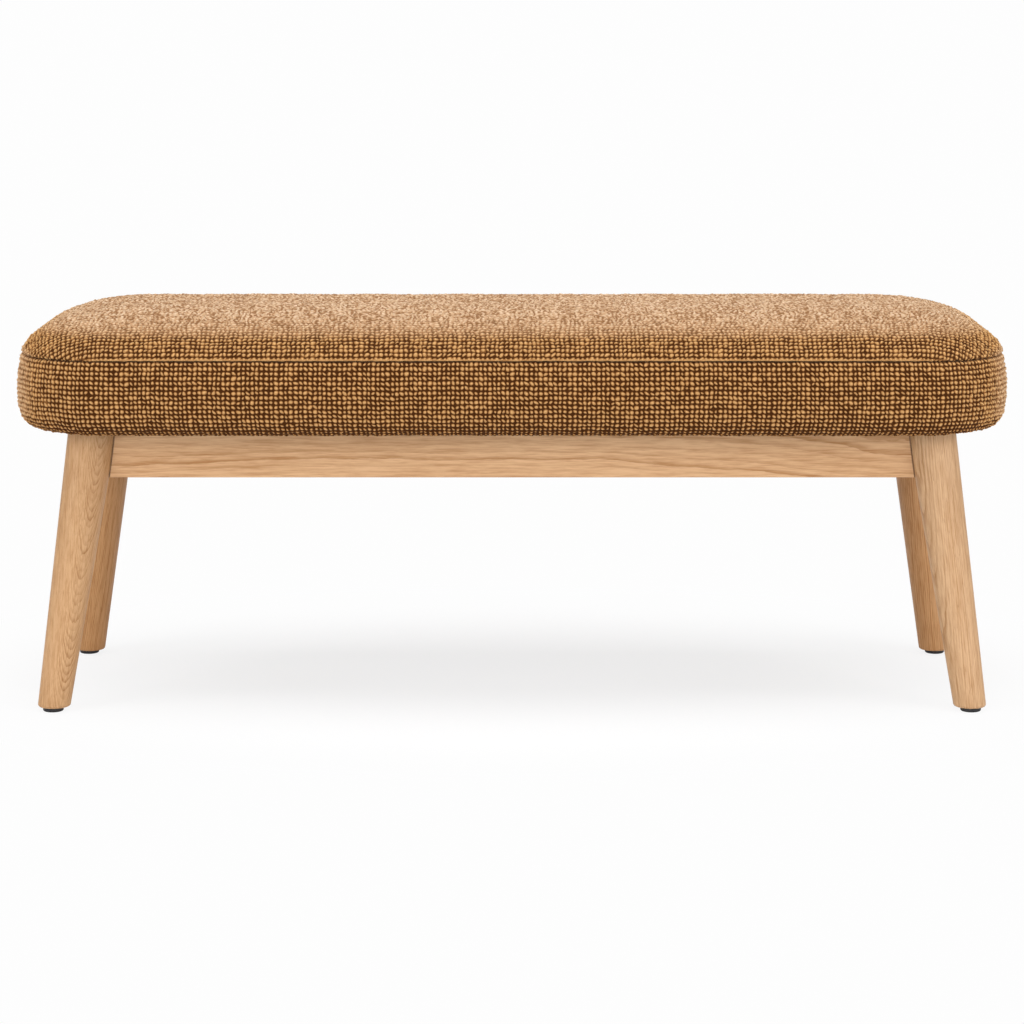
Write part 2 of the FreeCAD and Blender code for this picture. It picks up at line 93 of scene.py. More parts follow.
def split(tree, vector):
    """The three numbers of a vector."""
    return add(tree, "ShaderNodeSeparateXYZ", vector).outputs


def object_place(tree):
    """The place of a point on its object, in metres."""
    return tree.nodes.new("ShaderNodeTexCoord").outputs["Object"]


def vector_maths(tree, kind, *values, **named):
    """A vector math node; returns its vector."""
    return add(tree, "ShaderNodeVectorMath", *values, settings={"operation": kind}, **named).outputs["Vector"]


def noise(tree, place, stretch, detail=2.0, rough=0.5):
    """Noise on a place whose axes are scaled by stretch."""
    return add(tree, "ShaderNodeTexNoise", Vector=vector_maths(tree, "MULTIPLY", place, stretch), Scale=1.0,
               Detail=detail, Roughness=rough).outputs["Fac"]


def ramp(tree, value, low, high):
    """A soft step from 0 to 1 as value goes from low to high."""
    return add(tree, "ShaderNodeMapRange", settings={"interpolation_type": "SMOOTHSTEP"}, Value=value, From_Min=low,
               From_Max=high).outputs["Result"]


def blend(tree, share, first, second):
    """Two colours mixed by share; each is a colour or a node's output."""
    node = add(tree, "ShaderNodeMix", share, settings={"data_type": "RGBA"})
    for slot, value in ((6, first), (7, second)):
        put(tree, node.inputs[slot], (*value, 1.0) if isinstance(value, tuple) else value)
    return node.outputs[2]


def finish(name, **fixed):
    """A material with a Principled shader whose fixed sockets are set directly."""
    material = bpy.data.materials.new(name)
    material.use_nodes = True
    shader = material.node_tree.nodes["Principled BSDF"]
    for key, value in fixed.items():
        shader.inputs[key.replace("_", " ")].default_value = value
    return material, material.node_tree, shader


def bump(tree, shader, height, depth):
    """Raises the shader's surface by height times depth, in metres."""
    node = add(tree, "ShaderNodeBump", Strength=1.0, Distance=depth, Height=height)
    tree.links.new(node.outputs[0], shader.inputs["Normal"])


def wood(name, colours, centre, grain, heart, lean, layer, bow=0.0, pores=1.0, joint=None):
    """Solid wood as cut from a log.

    Centre and grain are the piece's middle and its grain's direction. Heart is the way from its middle
    to the heart of the log, lean the angle in degrees at which the grain nears the heart, layer the
    thickness of a year's growth, and bow how the layers arch along the piece. Joint makes the shade of
    the piece's joints from its place.
    """
    light, dark, pore = colours
    upright = Vector(grain).rotation_difference(Vector((0, 0, 1)))
    beside = upright @ Vector(heart)
    leaning = Quaternion(Vector((0, 0, 1)).cross(beside), math.radians(lean))
    turn = leaning @ upright
    material, tree, shader = finish(name, IOR=1.42)
    log = add(tree, "ShaderNodeMapping", Vector=object_place(tree), Rotation=turn.to_euler("XYZ"),
              Location=-(turn @ Vector(centre)) - turn @ Vector(heart)).outputs[0]
    across, through, along = split(tree, log)
    radius = total(tree, (maths(tree, "MULTIPLY", along, along), bow), (far(tree, across, through), 1.0),
                   (noise(tree, log, (14.0, 14.0, 3.0)), 0.011),
                   (noise(tree, log, (80.0, 80.0, 24.0), 3.0, 0.6), 0.0022))
    years = maths(tree, "DIVIDE", radius, layer)
    year = maths(tree, "FRACT", years)
    each = add(tree, "ShaderNodeTexWhiteNoise", settings={"noise_dimensions": "1D"}, W=maths(tree, "FLOOR", years))
    late = maths(tree, "MULTIPLY", ramp(tree, year, 0.30, 0.93), ramp(tree, year, 1.0, 0.93))
    late = maths(tree, "MULTIPLY", late, maths(tree, "MULTIPLY_ADD", each.outputs["Value"], 0.8, 0.25))
    streak = noise(tree, log, (460.0, 460.0, 26.0), 3.0, 0.6)
    fibre = noise(tree, log, (1500.0, 1500.0, 55.0), 2.0, 0.6)
    vessel = ramp(tree, noise(tree, log, (1300.0, 1300.0, 85.0), 1.0), 0.62, 0.72)
    opened = total(tree, (maths(tree, "MULTIPLY", vessel, ramp(tree, year, 0.8, 0.0)), pores))
    share = total(tree, (late, 0.58), (ramp(tree, noise(tree, log, (22.0, 22.0, 2.0)), 0.36, 0.70), 0.22),
                  (ramp(tree, streak, 0.36, 0.74), 0.46), (ramp(tree, fibre, 0.35, 0.75), 0.18))
    colour = blend(tree, maths(tree, "MINIMUM", share, 1.0), light, dark)
    colour = blend(tree, maths(tree, "MULTIPLY", opened, 0.55), colour, pore)
    if joint:
        colour = blend(tree, joint(tree), colour, JOINT_BROWN)
    tree.links.new(colour, shader.inputs["Base Color"])
    tree.links.new(total(tree, (streak, 0.16), (opened, 0.2), (late, -0.05), (fibre, 0.1), (1.0, 0.40)),
                   shader.inputs["Roughness"])
    bump(tree, shader, total(tree, (opened, -1.0), (fibre, 0.3), (late, 0.15)), 0.00012)
    return material


LEG_LEAN = (math.tan(math.radians(8.0)), math.tan(math.radians(10.0)))  # inward per height, along and across
FOOT = (0.556, 0.166)  # a leg's centre at the floor
LEG_MIDDLE = 0.17  # height
LEG_RADII = (0.0193, 0.0290)  # at the floor and under the seat
RAIL_TOP = 0.335
SHOULDER_GAP = (0.0019, 0.0007)  # how far outside the leg the shade of a joint ends and is full
SHOULDER_SHADE = 0.8
RAIL_PORES = 0.3
LEG_CUTS = {  # the way to the heart of the log, the lean to it, a year's growth and the board's tone, which is partly the wood's own tone and partly painted shade, darkest and brownest on the back legs
    "leg_front_left": ((0.052, -0.085, 0.0), 5.2, 0.00125, (0.82, 0.80, 0.74)),
    "leg_front_right": ((0.12, 0.05, 0.0), -1.2, 0.0022, (0.88, 0.91, 0.94)),
    "leg_back_left": ((-0.09, -0.06, 0.0), 2.0, 0.0019, (0.80, 0.71, 0.57)),
    "leg_back_right": ((0.10, -0.02, 0.0), -1.6, 0.0024, (0.83, 0.75, 0.63)),
}
oak = (OAK_LIGHT, OAK_DARK, OAK_PORE)
for name, (heart, lean, layer, tone) in LEG_CUTS.items():
    side = -1 if name.endswith("left") else 1
    row = -1 if "front" in name else 1
    grain = (-side * LEG_LEAN[0], -row * LEG_LEAN[1], 1.0)
    centre = (side * (FOOT[0] - LEG_MIDDLE * LEG_LEAN[0]), row * (FOOT[1] - LEG_MIDDLE * LEG_LEAN[1]), LEG_MIDDLE)
    # Each leg's colours are scaled by its tone, which paints part of the shade under the seat into the wood, most on
    # the back legs.
    colours = [tuple(np.multiply(tone, colour)) for colour in oak]
    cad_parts[name].data.materials[0] = wood("oak_" + name, colours, centre, grain, heart, lean, layer)


def shoulder_line(tree):
    """The thin dark line at a rail's shoulder, where its eased edge meets the round of a leg."""
    x, y, z = split(tree, vector_maths(tree, "ABSOLUTE", object_place(tree)))  # all four corners folded on to one
    from_axis = []
    for value, lean, foot in zip((x, y), LEG_LEAN, FOOT):
        sine, cosine = math.sin(math.atan(lean)), math.cos(math.atan(lean))
        from_axis.append(total(tree, (value, cosine), (z, sine), (1.0, -foot * cosine)))
    taper = (LEG_RADII[1] - LEG_RADII[0]) / RAIL_TOP
    past = total(tree, (far(tree, *from_axis), 1.0), (z, -taper), (1.0, -LEG_RADII[0]))
    return maths(tree, "MULTIPLY", ramp(tree, past, *SHOULDER_GAP), SHOULDER_SHADE)


RAIL_CUTS = {  # grain, the way to the heart of the log, the lean, a year's growth and the arch of the layers
    "front_rail": ((1.0, 0.0, 0.0), (0.0, 0.17, 0.062), 0.5, 0.0032, -0.020),
    "back_rail": ((1.0, 0.0, 0.0), (0.0, -0.15, 0.055), -0.6, 0.0028, 0.016),
    "left_end_rail": ((0.0, 1.0, 0.0), (0.14, 0.0, 0.060), 1.5, 0.0030, -0.10),
    "right_end_rail": ((0.0, 1.0, 0.0), (-0.16, 0.0, 0.050), -1.2, 0.0031, -0.12),
}
for name, (grain, heart, lean, layer, bow) in RAIL_CUTS.items():
    low, high = (np.array(corner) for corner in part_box(name))
    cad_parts[name].data.materials[0] = wood(
        "oak_" + name, oak, (low + high) / 2, grain, heart, lean, layer, bow, RAIL_PORES, shoulder_line)

# Cross braces and corner blocks.
# Plain beech, planed and left bare: two slats housed in the long rails, and a block screwed in each corner.
BEECH_LIGHT = (0.640, 0.430, 0.265)
BEECH_DARK = (0.500, 0.305, 0.165)
BEECH_FLECK = (0.360, 0.190, 0.090)
beech = (BEECH_LIGHT, BEECH_DARK, BEECH_FLECK)
BLOCK_CENTRE = (0.467, 0.066, 0.313)
BRACE_CENTRE = (0.18, 0.0, 0.3125)
BEECH_PORES = 0.4
for side, name in ((-1, "left"), (1, "right")):
    centre = (side * BRACE_CENTRE[0], BRACE_CENTRE[1], BRACE_CENTRE[2])
    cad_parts["cross_brace_" + name].data.materials[0] = wood(
        "beech_brace_" + name, beech, centre, (0.0, 1.0, 0.0), (0.05 * side, 0.0, 0.09), 1.0, 0.0040, 0.0, BEECH_PORES)
for corner in ("front_left", "front_right", "back_left", "back_right"):
    side, row = (-1 if "left" in corner else 1), (-1 if "front" in corner else 1)
    centre = (side * BLOCK_CENTRE[0], row * BLOCK_CENTRE[1], BLOCK_CENTRE[2])
    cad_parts["corner_block_" + corner].data.materials[0] = wood(
        "beech_block_" + corner, beech, centre, (side, -row, 0.0), (0.03, 0.03, 0.07), 2.0, 0.0038, 0.0, BEECH_PORES)

# Floor glides.
# Moulded black plastic discs with a rounded edge, one under each foot, held by a sunk screw.
PLASTIC = (0.010, 0.010, 0.011)
PLASTIC_WORN = (0.024, 0.024, 0.025)
material, tree, shader = finish("black_plastic", IOR=1.47)
place = object_place(tree)
scuffs = noise(tree, place, (160.0,) * 3, 3.0)
tree.links.new(total(tree, (scuffs, 0.25), (1.0, 0.30)), shader.inputs["Roughness"])
tree.links.new(blend(tree, ramp(tree, scuffs, 0.45, 0.8), PLASTIC, PLASTIC_WORN), shader.inputs["Base Color"])
bump(tree, shader, noise(tree, place, (2600.0,) * 3), 0.00006)
for name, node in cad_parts.items():
    if name.startswith("glide_") and name != "glide_screws":
        node.data.materials[0] = material

# Screws, bolts, washers and nuts.
# Zinc-plated steel, bright, with faint clouding and turning marks.
ZINC_BLUE = (0.55, 0.56, 0.58)
ZINC_PALE = (0.74, 0.73, 0.70)
zinc_plate, tree, shader = finish("zinc_plate", Metallic=1.0)
place = object_place(tree)
cloud = noise(tree, place, (420.0,) * 3, 3.0)
tree.links.new(blend(tree, cloud, ZINC_BLUE, ZINC_PALE), shader.inputs["Base Color"])
tree.links.new(total(tree, (cloud, 0.25), (1.0, 0.22)), shader.inputs["Roughness"])
bump(tree, shader, noise(tree, place, (500.0, 500.0, 5200.0)), 0.00003)
for name in ("seat_bolts", "seat_bolt_washers", "tee_nuts", "corner_block_screws", "brace_screws", "glide_screws"):
    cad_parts[name].data.materials[0] = zinc_plate

# Seat board.
# Birch plywood that carries the upholstery; its plies show on the edge as light and dark lines.
PLIES = 11
BOARD_LEVELS = (0.3385, 0.3535)
BIRCH_LIGHT = (0.66, 0.49, 0.31)
BIRCH_DARK = (0.55, 0.37, 0.21)
BIRCH_END = (0.42, 0.27, 0.15)
material, tree, shader = finish("birch_plywood", Roughness=0.6, IOR=1.45)
place = object_place(tree)
ply = total(tree, (split(tree, place)[2], PLIES / (BOARD_LEVELS[1] - BOARD_LEVELS[0]) / 2), (1.0, 0.5))
crossed = maths(tree, "GREATER_THAN", maths(tree, "FRACT", ply), 0.5)
veneer = noise(tree, place, (3.0, 70.0, 500.0), 3.0, 0.6)
tree.links.new(blend(tree, maths(tree, "MULTIPLY", crossed, 0.45), blend(tree, veneer, BIRCH_LIGHT, BIRCH_DARK),
                     BIRCH_END), shader.inputs["Base Color"])
bump(tree, shader, veneer, 0.0001)
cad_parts["seat_board"].data.materials[0] = material

# Filling of the seat.
# A foam block with a lip round the board, wrapped in soft wadding. It gives the cushion its form.
HALF_LENGTH, HALF_DEPTH = 0.600, 0.200
CORNER_RADIUS, CORNER_EASING = 0.115, 0.75  # plan radius of a corner, and how fast it tightens inwards
SEAT_TOP, SEAM_LEVEL, WIDEST_LEVEL, ROLL_LEVEL, HEM_LEVEL = 0.4812, 0.4285, 0.3855, 0.3382, 0.336
SEAM_INSET, CROWN_WIDTH, CROWN_POWER = 0.006, 0.130, 1.85
UNDER_INSET, ROLL_POWER = 0.0345, 2.9
COVER = 0.0025  # the cover cloth's thickness
SEAM_DEPTH = 0.0032  # how far the seam is drawn in
POCKET_INSET = 0.0427  # edge of the pocket that the board sits in
UNDER_COVER = COVER + 0.0012  # depth of the filling below the skin
RING_POINTS = 480
WADDING_WHITE = (0.84, 0.83, 0.80)
WADDING_GREY = (0.70, 0.69, 0.65)


def skin(place):
    """Inset and height of the cushion's skin: 0 is the underside, 1 the widest line, 2 the seam, 3 the level top."""
    place = np.asarray(place, float)
    turn = np.clip(place, 0, 1) * math.pi / 2
    inset = UNDER_INSET * (1 - np.sin(turn) ** (2 / ROLL_POWER))
    level = WIDEST_LEVEL - (WIDEST_LEVEL - ROLL_LEVEL) * np.cos(turn) ** (2 / ROLL_POWER)
    share = np.clip(place - 1, 0, 1)
    inset = np.where(place > 1, SEAM_INSET * share**2, inset)
    level = np.where(place > 1, WIDEST_LEVEL + (SEAM_LEVEL - WIDEST_LEVEL) * share, level)
    share = np.clip(place - 2, 0, 1) ** 2
    rise = (1 - (1 - share) ** CROWN_POWER) ** (1 / CROWN_POWER)
    inset = np.where(place > 2, SEAM_INSET + CROWN_WIDTH * share, inset)
    level = np.where(place > 2, SEAM_LEVEL + (SEAT_TOP - SEAM_LEVEL) * rise, level)
    return inset, level


def corner_at(inset):
    """Radius of the plan's corner, and the middle of that corner, at an inset."""
    radius = CORNER_RADIUS - CORNER_EASING * inset
    return radius, HALF_LENGTH - inset - radius, HALF_DEPTH - inset - radius


def outwards(inset, level):
    """Outward direction, as (out, up), along a section that is followed from the top down."""
    out, up = -np.gradient(level), -np.gradient(inset)
    size = np.hypot(out, up)
    return out / size, up / size


def girth_of(radius, middle_x, middle_y):
    """The length round a rounded rectangle, from its corners' radius and the middle of a corner."""
    return 2 * math.pi * radius + 4 * (middle_x + middle_y)


def columns_of(along, radius, middle_x, middle_y, start=0.0):
    """Columns round a rounded rectangle, from how far along its outline they stand, 0 to 1 from start in metres.

    A column is the quarter it is in, how far through that quarter's corner or straight run, and which of the two.
    """
    arc = radius * math.pi / 2
    lengths = np.array([arc, 2 * middle_x, arc, 2 * middle_y] * 2)
    ends = np.concatenate([[0.0], np.cumsum(lengths)])
    along = (np.asarray(along) * ends[-1] + start) % ends[-1]
    run = np.searchsorted(ends, along, side="right") - 1
    return run // 2, (along - ends[run]) / lengths[run], run % 2 == 0


def columns_at(along):
    """Columns round the cushion, from how far along the widest line they stand, from the middle of the back."""
    radius, middle_x, middle_y = corner_at(0.0)
    return columns_of(along, radius, middle_x, middle_y, radius * math.pi / 2 + middle_x)


def around(columns, radius, middle_x, middle_y):
    """Flat points of a rounded rectangle at its columns, and their outward directions."""
    quarter, share, in_corner = columns
    angle = (quarter + np.where(in_corner, share, 1.0)) * math.pi / 2
    way = np.stack([np.cos(angle), np.sin(angle)], 1)
    sign_x = np.where((quarter == 0) | (quarter == 3), 1.0, -1.0)
    sign_y = np.where(quarter < 2, 1.0, -1.0)
    fade = np.where(in_corner, 1.0, 1.0 - 2.0 * share)  # a straight run goes on to the next corner
    middle = np.stack([sign_x * middle_x * np.where(quarter % 2 == 0, fade, 1.0),
                       sign_y * middle_y * np.where(quarter % 2 == 1, fade, 1.0)], 1)
    return middle + way * np.asarray(radius).reshape(-1, 1), way


def ring(columns, inset, level):
    """The outline of the cushion's plan at an inset, as points and their outward directions."""
    flat, way = around(columns, *corner_at(inset))
    return np.column_stack([flat, np.broadcast_to(level, len(flat))]), np.column_stack([way, np.zeros(len(way))])


def ring_faces(rings, columns, start=0, closed=False):
    """Faces between successive rings of points that run down the outside; closed joins the last to the first."""
    row, column = np.meshgrid(np.arange(rings - (0 if closed else 1)), np.arange(columns), indexing="ij")
    after, below = (column + 1) % columns, (row + 1) % rings
    faces = np.stack([row * columns + column, below * columns + column, below * columns + after,
                      row * columns + after], -1)
    return faces.reshape(-1, 4) + start


def set_up(name, data):
    """An object in the scene."""
    made = bpy.data.objects.new(name, data)
    bpy.context.scene.collection.objects.link(made)
    return made


def sewn_piece(name, points, faces, material):
    """A smooth piece of the seat from points in metres and groups of faces. It rides on the bench."""
    mesh = bpy.data.meshes.new(name)
    mesh.from_pydata(points.tolist(), [], [face for group in faces for face in np.asarray(group).tolist()])
    mesh.materials.append(material)
    mesh.shade_smooth()
    made = set_up(name, mesh)
    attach(made, "root")
    return made


material, tree, shader = finish("polyester_wadding", Roughness=0.95, Sheen_Weight=0.4, Sheen_Roughness=0.6)
place = object_place(tree)
fluff = noise(tree, place, (60.0,) * 3, 4.0, 0.65)
tree.links.new(blend(tree, fluff, WADDING_WHITE, WADDING_GREY), shader.inputs["Base Color"])
bump(tree, shader, total(tree, (noise(tree, place, (900.0,) * 3, 3.0, 0.7), 0.3), (fluff, 1.0)), 0.0015)

places = np.concatenate([np.linspace(3, 2, 24), np.linspace(2, 1, 8)[1:], np.linspace(1, 0, 18)[1:]])
insets, levels = skin(places)
out, up = outwards(insets, levels)
deep = UNDER_COVER + 2 * SEAM_DEPTH * np.exp(-(((places - 2) / 0.12) ** 2))  # more so behind the seam
insets, levels = insets + deep * out, levels - deep * up
LIP = BOARD_LEVELS[0] + 0.003
kept = levels > LIP
insets = np.concatenate([insets[kept], [insets[kept][-1] + 0.003, POCKET_INSET, POCKET_INSET]])
levels = np.concatenate([levels[kept], [LIP, LIP, BOARD_LEVELS[1] + 0.0005]])
columns = columns_at(np.arange(RING_POINTS) / RING_POINTS)
points = np.concatenate([ring(columns, inset, level)[0] for inset, level in zip(insets, levels)])
caps = [list(range(RING_POINTS)), list(range(len(points) - RING_POINTS, len(points)))[::-1]]
filling = sewn_piece("seat_filling", points, [ring_faces(len(insets), RING_POINTS), caps], material)
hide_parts("seat_foam", "seat_wadding")

# Top panel of the cover.
# One piece of a chunky plain weave in camel yarn, laid over the crown with its grain along the bench.
# Every crossing stands up as a round bead with dark gaps between. The cloth turns down into the seam all round.
YARN = 0.00565  # pitch of the weave
STEPS = 4  # points of the mesh across one crossing
BEAD = 0.0026  # height of a bead over the gaps
GAP = 0.0012  # depth of the gaps below the cushion's skin
BEAD_SIZE = 0.44  # radius, in crossings
FULLNESS = (0.72, 1.12)  # least and greatest height of a bead, in beads
LINK_LOW, LINK_HIGH = 0.26, 0.71  # height of the yarn between two beads, apart and run together
RUN_TOGETHER = (0.80, 0.95)  # chance above which two beads start to run together, and do so in full
TWIST = 38.0  # degrees at which the yarn's fibres cross it
ROW_STRIDE = 1024.0  # more than the crossings in a row, so that every crossing has its own number
SCATTERS = 0.75  # changes of the beads' scatter, to a crossing
RUBBED = (0.88, 1.0)  # how far upward the cloth faces where rubbing starts, and where it is full
RUBBED_FLAT, RUBBED_HEIGHT = 0.55, 0.6  # how far the crown is rubbed level, and to what share of a bead
# The gap colour is partly the yarn's own colour and partly painted shade between the beads.
YARN_LIGHT = (0.610, 0.350, 0.138)
YARN_MIDDLE = (0.370, 0.165, 0.053)
YARN_GAP_AND_SHADE = (0.062, 0.020, 0.004)
FUZZ_SHEEN_LIGHT = (0.740, 0.550, 0.382)  # the yarn where the crown is rubbed furry, paler partly as fuzz and partly as painted sheen and top light
FUZZ_SHEEN_MIDDLE = (0.515, 0.312, 0.170)
FUZZ_SHEEN_GAP = (0.270, 0.130, 0.055)
FOLD = 0.0040  # width of the folded edge beside the seam
SEAM_WIDTH = 0.0012
ROLL_HEIGHT, ROLL_AWAY, ROLL_WIDTH = 0.0006, 0.0045, 0.004  # the soft roll beside a seam
LINING = COVER + 0.0006  # depth of the cloth's inner side below the skin
STEADY, EASES = 0.012, 0.05  # width beside the seam without stray yarns, and of their coming in
FOLD_END = 0.53  # how far along the bench the folded edge can be told from the weave
KNOT = 0.022  # length along a yarn over which it strays
STRAY_WEFT, STRAY_WARP = 0.48, 0.22  # how far a yarn strays, in pitches
RIPPLES, RIPPLE = (0.06, 0.13, 0.27), 0.0004  # lengths and size of the weave's waver
SWELLS, SWELL = (0.06, 0.11), 0.00025  # lengths and size of the cushion's soft unevenness
LOOSENS = 0.03  # distance from a seam over which the cloth is free to waver
WIDTHS_ACROSS, WIDTHS_DOWN = 0.14, 0.05  # how much the yarns differ in width


def attribute(tree, name, kind="FLOAT_VECTOR"):
    """A named attribute in a geometry node tree."""
    node = add(tree, "GeometryNodeInputNamedAttribute", settings={"data_type": kind}, Name=name)
    return next(socket for socket in node.outputs if socket.enabled and socket.name == "Attribute")


def chance(tree, low, high, cell, seed, offset):
    """A random number for each crossing of the weave."""
    node = tree.nodes.new("FunctionNodeRandomValue")
    node.data_type = "FLOAT"
    floats = [socket for socket in node.inputs if socket.enabled]
    floats[0].default_value, floats[1].default_value = low, high
    tree.links.new(cell, node.inputs["ID"])
    tree.links.new(maths(tree, "ADD", seed, offset), node.inputs["Seed"])
    return next(socket for socket in node.outputs if socket.enabled)


def new_tree(name, taken, given, **numbers):
    """A geometry node tree with what it takes and gives, and its numbers as named inputs."""
    tree = bpy.data.node_groups.new(name, "GeometryNodeTree")
    face = tree.interface
    face.new_socket(taken, in_out="INPUT", socket_type="NodeSocketGeometry")
    face.new_socket(given, in_out="OUTPUT", socket_type="NodeSocketGeometry")
    for key, value in numbers.items():
        face.new_socket(key.replace("_", " "), in_out="INPUT", socket_type="NodeSocketFloat").default_value = value
    face.new_socket("Seed", in_out="INPUT", socket_type="NodeSocketInt")
    return tree, tree.nodes.new("NodeGroupInput").outputs


def give_back(tree, shape, material):
    """Ends a geometry node tree with its shape made real and its material set."""
    real = add(tree, "GeometryNodeRealizeInstances", shape)
    clothed = add(tree, "GeometryNodeSetMaterial", real.outputs[0], Material=material)
    add(tree, "NodeGroupOutput", clothed.outputs[0])
    return tree


def weave_tree(material):
    """Geometry nodes that raise a smooth cloth into a plain weave.

    The cloth's points carry "weave", their place in crossings and how far the weave is pressed flat,
    and "outward", the way in which the beads stand up.
    """
    tree, given = new_tree("plain_weave", "Cloth", "Cloth", Bead_height=BEAD, Gap_depth=GAP, Bead_size=BEAD_SIZE,
                           Unevenness=0.0)
    weave = attribute(tree, "weave")
    outward = attribute(tree, "outward")
    u, v, pressed = split(tree, weave)
    cell = maths(tree, "MULTIPLY_ADD", maths(tree, "FLOOR", v), ROW_STRIDE, maths(tree, "FLOOR", u))
    in_u = maths(tree, "ABSOLUTE", maths(tree, "SUBTRACT", maths(tree, "FRACT", u), 0.5))
    in_v = maths(tree, "ABSOLUTE", maths(tree, "SUBTRACT", maths(tree, "FRACT", v), 0.5))
    full = chance(tree, *FULLNESS, cell, given["Seed"], 1)
    away = maths(tree, "DIVIDE", far(tree, in_u, in_v), given["Bead size"])
    under = maths(tree, "SUBTRACT", 1.0, maths(tree, "MULTIPLY", away, away))
    bead = maths(tree, "SQRT", maths(tree, "MAXIMUM", under, 0.0))
    bead = maths(tree, "MULTIPLY", bead, full)
    # Yarn shows between neighbouring beads, low in most places and high where two beads run together.
    links = []
    for edge, beside, offset in ((in_u, in_v, 2), (in_v, in_u, 3)):
        between = maths(tree, "MULTIPLY", maths(tree, "GREATER_THAN", edge, 0.49),
                        maths(tree, "LESS_THAN", beside, 0.3))
        joined = ramp(tree, chance(tree, 0.0, 1.0, cell, given["Seed"], offset), *RUN_TOGETHER)
        height = maths(tree, "MULTIPLY_ADD", joined, LINK_HIGH - LINK_LOW, LINK_LOW)
        links.append(maths(tree, "MULTIPLY", between, height))
    relief = maths(tree, "MAXIMUM", bead, maths(tree, "ADD", links[0], links[1]))
    open_weave = maths(tree, "SUBTRACT", 1.0, pressed)
    # On the level crown the beads are rubbed down and their gaps are filled with loose fibre.
    rubbed = maths(tree, "MULTIPLY", ramp(tree, split(tree, outward)[2], *RUBBED), RUBBED_FLAT)
    relief = maths(tree, "MULTIPLY_ADD", maths(tree, "SUBTRACT", RUBBED_HEIGHT, relief), rubbed, relief)
    relief = maths(tree, "MULTIPLY_ADD", relief, open_weave, maths(tree, "MULTIPLY", pressed, 0.5))
    rise = maths(tree, "SUBTRACT", maths(tree, "MULTIPLY", relief, given["Bead height"]), given["Gap depth"])
    place = add(tree, "GeometryNodeInputPosition").outputs[0]
    scatter = add(tree, "ShaderNodeTexNoise", Vector=place, Scale=SCATTERS / YARN, Detail=1.0)
    sway = vector_maths(tree, "SUBTRACT", scatter.outputs["Color"], (0.5, 0.5, 0.5))
    sway = vector_maths(tree, "SCALE", sway, Scale=maths(tree, "MULTIPLY", given["Unevenness"], open_weave))
    moved = vector_maths(tree, "ADD", sway, vector_maths(tree, "SCALE", outward, Scale=rise))
    shift = add(tree, "GeometryNodeSetPosition", given["Cloth"], Offset=moved)
    store = add(tree, "GeometryNodeStoreNamedAttribute", shift.outputs[0], settings={"data_type": "FLOAT"},
                Name="relief")
    put(tree, next(socket for socket in store.inputs if socket.enabled and socket.name == "Value"), relief)
    return give_back(tree, store.outputs[0], material)


def grow(made, tree, **inputs):
    """Runs a geometry node tree on a piece and keeps its result as the piece's plain mesh."""
    modifier = made.modifiers.new(tree.name, "NODES")
    modifier.node_group = tree
    for item in tree.interface.items_tree:
        key = item.name.replace(" ", "_")
        if item.in_out == "INPUT" and key in inputs:
            modifier[item.identifier] = inputs[key]
    bpy.context.view_layer.update()
    shape = bpy.data.meshes.new_from_object(made.evaluated_get(bpy.context.evaluated_depsgraph_get()))
    made.modifiers.clear()
    made.data = shape
    shape.name = made.name


def store_vectors(mesh, name, vectors):
    """A vector for each point of a mesh, for its nodes to read."""
    mesh.attributes.new(name, "FLOAT_VECTOR", "POINT").data.foreach_set("vector", vectors.astype(np.float32).ravel())


def bake_map(mesh, places):
    """The flat layout on which the cloth's colours can be baked."""
    corners = np.empty(len(mesh.loops), np.int32)
    mesh.loops.foreach_get("vertex_index", corners)
    mesh.uv_layers.new(name="OFBake").uv.foreach_set("vector", places[corners].astype(np.float32).ravel())


def yarn_places(count, seed, spread):
    """Where the mesh's lines stand, 0 to 1, across count yarns of uneven thickness."""
    widths = np.random.default_rng(seed).uniform(1 - spread, 1 + spread, count)
    edges = np.concatenate([[0.0], np.cumsum(widths)]) / widths.sum()
    return np.interp(np.arange(count * STEPS + 1) / STEPS, np.arange(count + 1), edges)


def waves(u, v, seed, lengths, size):
    """A smooth random field over the cloth, from waves of the given lengths in metres."""
    dice = np.random.default_rng(seed)
    field = np.zeros(np.broadcast(u, v).shape)
    for length in lengths:
        for _ in range(4):
            way, phase = dice.uniform(0, 2 * math.pi, 2)
            field = field + np.sin((u * math.cos(way) + v * math.sin(way)) * 2 * math.pi / length + phase)
    return field * size / math.sqrt(2 * len(lengths))


def seam_pull(distance):
    """How far the cloth is drawn in near a seam; beside it a soft roll stands up instead."""
    roll = ROLL_HEIGHT * np.exp(-(((distance - ROLL_AWAY) / ROLL_WIDTH) ** 2))
    return SEAM_DEPTH * np.exp(-((distance / SEAM_WIDTH) ** 2)) - roll


def drift(across, along, seed):
    """How far each yarn strays sideways, -1 to 1; across counts the yarns and along is in metres."""
    dice = np.random.default_rng(seed)
    knots = along / KNOT - np.floor(np.min(along) / KNOT)
    yarn = np.maximum(across - 0.5, 0.0)
    table = dice.uniform(-1, 1, (int(yarn.max()) + 2, int(knots.max()) + 2))
    first, knot = yarn.astype(int), knots.astype(int)
    share_a, share_k = (part * part * (3 - 2 * part) for part in (yarn - first, knots - knot))
    lower = table[first, knot] * (1 - share_k) + table[first, knot + 1] * share_k
    upper = table[first + 1, knot] * (1 - share_k) + table[first + 1, knot + 1] * share_k
    return lower * (1 - share_a) + upper * share_a


def stored(tree, name):
    """What a mesh keeps under a name, for its material to read."""
    return add(tree, "ShaderNodeAttribute", settings={"attribute_name": name}).outputs


